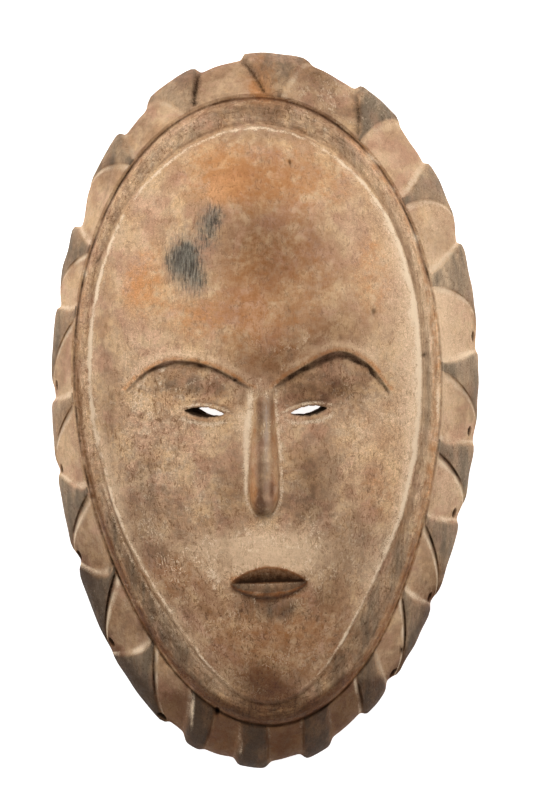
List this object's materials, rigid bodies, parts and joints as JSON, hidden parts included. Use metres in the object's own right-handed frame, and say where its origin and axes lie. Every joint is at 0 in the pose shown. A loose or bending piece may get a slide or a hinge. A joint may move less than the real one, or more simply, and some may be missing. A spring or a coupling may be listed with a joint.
{
  "type": "face mask",
  "caption": "Carved wooden face mask, a long oval shell with slit eyes, a narrow nose, a small mouth and a broad collar of carved fangs.",
  "frame": {"origin": "middle of the mask's outline, on the flat back rim that it lies on", "axes": "+Z out of the face, +Y to the top of the head, +X to the viewer's right"},
  "size_m": [0.2686, 0.45, 0.1057],
  "materials": {
    "wood": "dry, worn, hand-carved wood with a matt brown patina, pale on the worn ridges and dark on the fangs and in the cuts"
  },
  "bodies": {
    "root": {"mask": "wood"}
  },
  "joints": []
}
